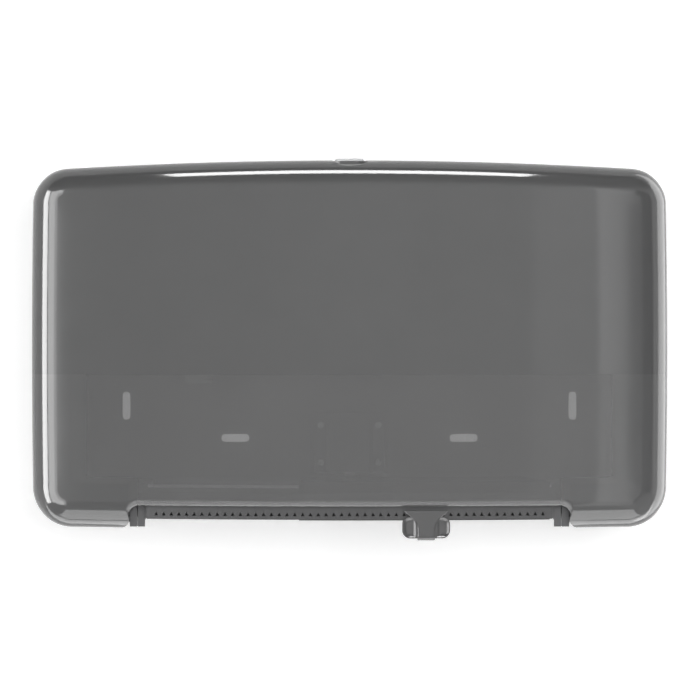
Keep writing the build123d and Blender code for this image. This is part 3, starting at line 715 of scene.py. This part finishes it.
def make_cover(settings):
    """The front cover: a rounded shell, open at the back, with its notch and lock recess."""
    cover = rounded_casing(settings)
    tidy(cover)
    combine(cover, rounded_casing(settings, settings.wall), "DIFFERENCE")
    combine(cover, exit_cutter(settings), "DIFFERENCE")
    add_hinge(cover, settings.notch_half)
    add_lock_recess(cover, settings.wall)
    tidy(cover)
    cover.name = cover.data.name = "front_cover_shell"
    smooth(cover)
    return cover


# ---- the finger tab ----

# How far behind the cover's face the rear of the wings and rib lies
TAB_SETBACK = 0.011

# Where the wings lie between the tab's top and foot
WINGS_UNDER_TOP = 0.0046
WINGS_OVER_FOOT = 0.0016

# Scoop in each wing, as the inset and the depth of each step
WING_SCOOP = (
    (0.0008, 0), (0.0006, -0.0005), (0.0008, -0.0006), (0.0010, -0.0004), (0.0011, -0.0002),
)

# How much of the flare the rib has at each distance under its top
RIB_FLARE = (
    (0.0, 1.0), (0.0018, 0.86), (0.0038, 0.62), (0.0060, 0.38),
    (0.0084, 0.19), (0.0110, 0.07), (0.0140, 0.0),
)

# Rounding of the rib's foot and of its front edges
FOOT_ROUND = 0.0032
FRONT_ROUND = 0.0014

# Block behind the rib that reaches the shutter
BLOCK_HALF = 0.009
BLOCK_SETBACK = 0.023
BLOCK_UNDER_TOP = 0.0045
BLOCK_OVER_FOOT = 0.006


def make_wings(settings, rear):
    """Plate with rounded corners and a scoop on each side of the rib."""
    top, bottom = TAB_HIGH.z - WINGS_UNDER_TOP, TAB_LOW.z + WINGS_OVER_FOOT
    wings = block(
        "shutter_tab", (-settings.half, rear - settings.wing, bottom), (settings.half, rear, top),
    )
    round_corners(wings, lambda co: near(co.z, bottom), settings.wing_lower_corner, 8)
    round_corners(wings, lambda co: near(co.z, top), settings.wing_upper_corner, 8)
    slice_across(wings, 0, [side * (settings.rib_half + 0.0006) for side in (-1, 1)])
    for side in (-1, 1):
        pick(
            wings, "FACE",
            lambda middle, normal: normal.y < -0.9 and middle.x * side > settings.rib_half,
        )
        for thickness, depth in WING_SCOOP:
            bpy.ops.mesh.inset(thickness=thickness, depth=depth)
        done()
    return wings


def make_rib(settings, rear):
    """Rib that flares out at its top and is rounded at its front and foot."""
    low, high = TAB_LOW.z, TAB_HIGH.z
    front = rear - settings.depth
    rib = block("rib", (-settings.rib_half, front, low), (settings.rib_half, rear, high))
    flare = settings.flare_half / settings.rib_half - 1
    slice_across(rib, 2, [high - drop for drop, _ in RIB_FLARE[1:]])
    for drop, flared in RIB_FLARE[:-1]:
        pick(rib, "VERT", lambda co: near(co.z, high - drop))
        bpy.ops.transform.resize(value=(1 + flare * flared, 1, 1))
        done()
    round_edges(
        rib, lambda a, b: near(max(a.y, b.y), front) and near(max(a.z, b.z), low),
        FOOT_ROUND, 6,
    )
    round_edges(
        rib,
        lambda a, b: near(max(a.y, b.y), front) and abs(a.z - b.z) > 0.001 and a.x * b.x > 0,
        FRONT_ROUND, 4,
    )
    return rib


def make_tab(settings):
    """Finger tab: a rib between two scooped wings, on a block that reaches the shutter."""
    rear = COVER_LOW.y + TAB_SETBACK
    tab = combine(make_wings(settings, rear), make_rib(settings, rear), "UNION")
    body = block(
        "block", (-BLOCK_HALF, rear - 0.001, TAB_LOW.z + BLOCK_OVER_FOOT),
        (BLOCK_HALF, COVER_LOW.y + BLOCK_SETBACK, TAB_HIGH.z - BLOCK_UNDER_TOP),
    )
    combine(tab, body, "UNION")
    tidy(tab)
    activate(tab)
    bpy.ops.object.mode_set(mode="EDIT")
    bpy.ops.mesh.select_all(action="SELECT")
    half_travel = math.radians(max(JOINTS["shutter_slide"]["range_deg"]) / 2)
    bpy.ops.transform.rotate(
        value=-half_travel, orient_axis="Z", orient_type="GLOBAL", center_override=(0, BOW_Y, 0),
    )
    done()
    apply_modifier(
        tab, "BEVEL", width=settings.edge, segments=3,
        limit_method="ANGLE", angle_limit=math.radians(35),
    )
    smooth(tab)
    return tab


def shorten_spring():
    """Gives the button's spring a mesh of its own."""
    spring = frame["nodes"]["button_spring"]
    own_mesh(spring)


# ---- the stage ----

def round_about(turn, distance, height=0.0):
    """A place about the dispenser: degrees to the right of straight ahead."""
    angle = math.radians(turn)
    return (distance * math.sin(angle), -distance * math.cos(angle), height)


def area_light(name, place, size, power, gloss_only=True, aim=(0, -0.1, 0)):
    """Rectangular lamp that is either seen as a highlight alone or lights alone."""
    clear_selection()
    place, aim = Vector(place), Vector(aim)
    turn = (place - aim).to_track_quat("Z", "Y").to_euler()
    bpy.ops.object.light_add(type="AREA", location=place, rotation=turn)
    lamp = bpy.context.active_object
    lamp.name = lamp.data.name = name
    lamp.data.shape = "RECTANGLE"
    lamp.data.size, lamp.data.size_y = size
    lamp.data.energy = power
    lamp.visible_camera = False
    lamp.visible_diffuse = not gloss_only
    lamp.visible_glossy = gloss_only


def add_lamps():
    """One lamp that lights, and the strips and panels that the cover reflects."""
    area_light("front_soft", round_about(10, 2.6, 0.3), (2.0, 1.0), 30, False)
    area_light("left_strip", round_about(-80, 1.6), (0.50, 1.5), 32)
    area_light("left_middle", round_about(-56.4, 1.648), (0.65, 1.5), 21)
    area_light("left_soft", round_about(-41.9, 1.629), (0.19, 1.5), 3.4)
    area_light("right_soft", round_about(34.7, 1.71), (0.136, 1.6), 0.94)
    area_light("right_faint", round_about(29, 1.7), (0.235, 1.6), 0.35)
    area_light("right_wall", (0.58, -0.004, 0), (0.5, 0.9), 3.6, aim=(0.58, -1, 0))
    area_light("top_strip", (0, -0.6, 1.45), (1.16, 0.36), 27)
    area_light("under_wide", (0, -0.55, -1.15), (2.2, 1.0), 24, aim=(0, -0.55, 0))
    area_light("low_wall", (0, -0.004, -0.62), (1.4, 0.66), 9, aim=(0, -1, -0.62))


def set_world(world, strength):
    """Room light, white where the camera sees it, darker overhead and in a patch on the right."""
    world.use_nodes = True
    nodes = Tree(world.node_tree)
    nodes.tree.nodes.clear()
    direction = nodes.add("ShaderNodeTexCoord").outputs["Generated"]

    def darkened(towards, start, end, low):
        """Value that falls from 1 to low as the direction nears another one."""
        nearness = nodes.add("ShaderNodeVectorMath", operation="DOT_PRODUCT")
        nodes.feed(nearness.inputs[0], direction)
        nodes.feed(nearness.inputs[1], Vector(towards).normalized())
        return nodes.spread(nearness.outputs["Value"], 1.0, low, start, end, "SMOOTHSTEP")

    overhead = darkened((0, 0, 1), 0.25, 0.7, 0.12)
    right_patch = darkened(round_about(56, 1), 0.905, 0.94, 0.0)
    rays = nodes.add("ShaderNodeLightPath")
    room = nodes.maths(
        "MAXIMUM", nodes.maths("MULTIPLY", overhead, right_patch), rays.outputs["Is Camera Ray"],
    )
    level = nodes.spread(nodes.seen_directly(), strength, 1.0, 0.0, 1.0, "SMOOTHSTEP")
    light = nodes.add("ShaderNodeBackground")
    nodes.feed(light.inputs["Color"], (1, 1, 1, 1))
    nodes.feed(light.inputs["Strength"], nodes.maths("MULTIPLY", level, room))
    nodes.feed(nodes.add("ShaderNodeOutputWorld").inputs["Surface"], light.outputs["Background"])


def stage_white(name, glow, open_behind):
    """Plain white that shows about white to the camera and still takes a shadow."""
    material = bpy.data.materials.new(name)
    material.use_nodes = True
    nodes = Tree(material.node_tree)
    shader = nodes.tree.nodes["Principled BSDF"]
    given = {
        "Base Color": (0.8, 0.8, 0.8, 1),
        "Roughness": 0.9,
        "Specular IOR Level": 0.0,
        "Emission Color": (1, 1, 1, 1),
        "Emission Strength": nodes.maths("MULTIPLY", nodes.seen_directly(), glow),
    }
    if open_behind:
        facing = nodes.add("ShaderNodeNewGeometry")
        given["Alpha"] = nodes.maths("SUBTRACT", 1.0, facing.outputs["Backfacing"])
    for socket, value in given.items():
        nodes.feed(shader.inputs[socket], value)
    return material


def backdrop(name, size, place, turn, glow, open_behind):
    """White square, turned about X by some degrees."""
    clear_selection()
    bpy.ops.mesh.primitive_plane_add(
        size=size, location=place, rotation=(math.radians(turn), 0, 0),
    )
    square = settle(bpy.context.active_object, name)
    square.data.materials.append(stage_white(name, glow, open_behind))
    return square


def add_camera(settings):
    """Camera straight in front, framed by what the picture spans at the cover's rim."""
    sensor = 36.0
    rim = 0.088
    clear_selection()
    bpy.ops.object.camera_add(
        location=(0.0004, -settings.distance, 0), rotation=(math.radians(90), 0, 0),
    )
    camera = bpy.context.active_object
    camera.data.sensor_width = sensor
    camera.data.lens = sensor * (settings.distance - rim) / settings.picture_width
    return camera


# ---- operators ----

class DISPENSER_OT_cover(bpy.types.Operator):
    """Model the front cover"""

    bl_idname = "dispenser.cover"
    bl_label = "Front cover"

    def execute(self, context):
        cover = make_cover(context.scene.dispenser_casing)
        finish_piece(cover, "cover", "smoke_cover", finishes()["smoke_cover"], "front_cover")
        return {"FINISHED"}


class DISPENSER_OT_tab(bpy.types.Operator):
    """Model the shutter's finger tab"""

    bl_idname = "dispenser.tab"
    bl_label = "Finger tab"

    def execute(self, context):
        tab = make_tab(context.scene.dispenser_tab)
        finish_piece(tab, "slider", "tab_plastic", finishes()["tab_plastic"], "shutter_tab")
        return {"FINISHED"}


class DISPENSER_OT_finishes(bpy.types.Operator):
    """Give every carried-over part its finish"""

    bl_idname = "dispenser.finishes"
    bl_label = "Frame finishes"

    def execute(self, context):
        made = finishes()
        for row in frame["record"]["subparts"]:
            part = frame["nodes"][row["node"]]
            kind = "shutter_black" if row["node"] == "shutter" else row["material_slot"]
            for slot in part.material_slots:
                slot.material = made[kind]
        shorten_spring()
        return {"FINISHED"}


class DISPENSER_OT_stage(bpy.types.Operator):
    """Set up the wall, floor, lights and camera"""

    bl_idname = "dispenser.stage"
    bl_label = "Stage"

    def execute(self, context):
        settings = context.scene.dispenser_stage
        wall = backdrop("stage_wall", 6, (0, 0.0006, 0), 90, 0.55, True)
        floor = backdrop("stage_floor", 12, (0, 0, -1.2), 0, 0.4, False)
        world = context.scene.world or bpy.data.worlds.new("World")
        context.scene.world = world
        set_world(world, settings.world)
        add_lamps()
        context.scene.camera = add_camera(settings)
        context.scene.view_settings.view_transform = "Standard"
        return {"FINISHED"}


class DISPENSER_PT_panel(bpy.types.Panel):
    """Lists the dispenser's settings and makers"""

    bl_idname = "DISPENSER_PT_panel"
    bl_label = "Dispenser"
    bl_space_type = "VIEW_3D"
    bl_region_type = "UI"
    bl_category = "Dispenser"

    def draw(self, context):
        layout = self.layout
        for maker in MAKERS:
            layout.operator(maker.bl_idname)
        for group, _ in GROUPS:
            settings = getattr(context.scene, group)
            for key in settings.bl_rna.properties.keys():
                if key not in ("rna_type", "name"):
                    layout.prop(settings, key)


GROUPS = (
    ("dispenser_casing", CasingSettings),
    ("dispenser_tab", TabSettings),
    ("dispenser_finish", FinishSettings),
    ("dispenser_stage", StageSettings),
)
MAKERS = (DISPENSER_OT_stage, DISPENSER_OT_cover, DISPENSER_OT_tab, DISPENSER_OT_finishes)


def register():
    """Registers the settings, operators and panel."""
    for name, group in GROUPS:
        bpy.utils.register_class(group)
        setattr(bpy.types.Scene, name, bpy.props.PointerProperty(type=group))
    for maker in MAKERS:
        bpy.utils.register_class(maker)
    bpy.utils.register_class(DISPENSER_PT_panel)


def unregister():
    """Takes them away again."""
    bpy.utils.unregister_class(DISPENSER_PT_panel)
    for maker in reversed(MAKERS):
        bpy.utils.unregister_class(maker)
    for name, group in reversed(GROUPS):
        delattr(bpy.types.Scene, name)
        bpy.utils.unregister_class(group)


def main():
    """Makes every piece in order."""
    register()
    bpy.ops.dispenser.stage()
    bpy.ops.dispenser.cover()
    bpy.ops.dispenser.tab()
    bpy.ops.dispenser.finishes()


if __name__ == "__main__":
    main()
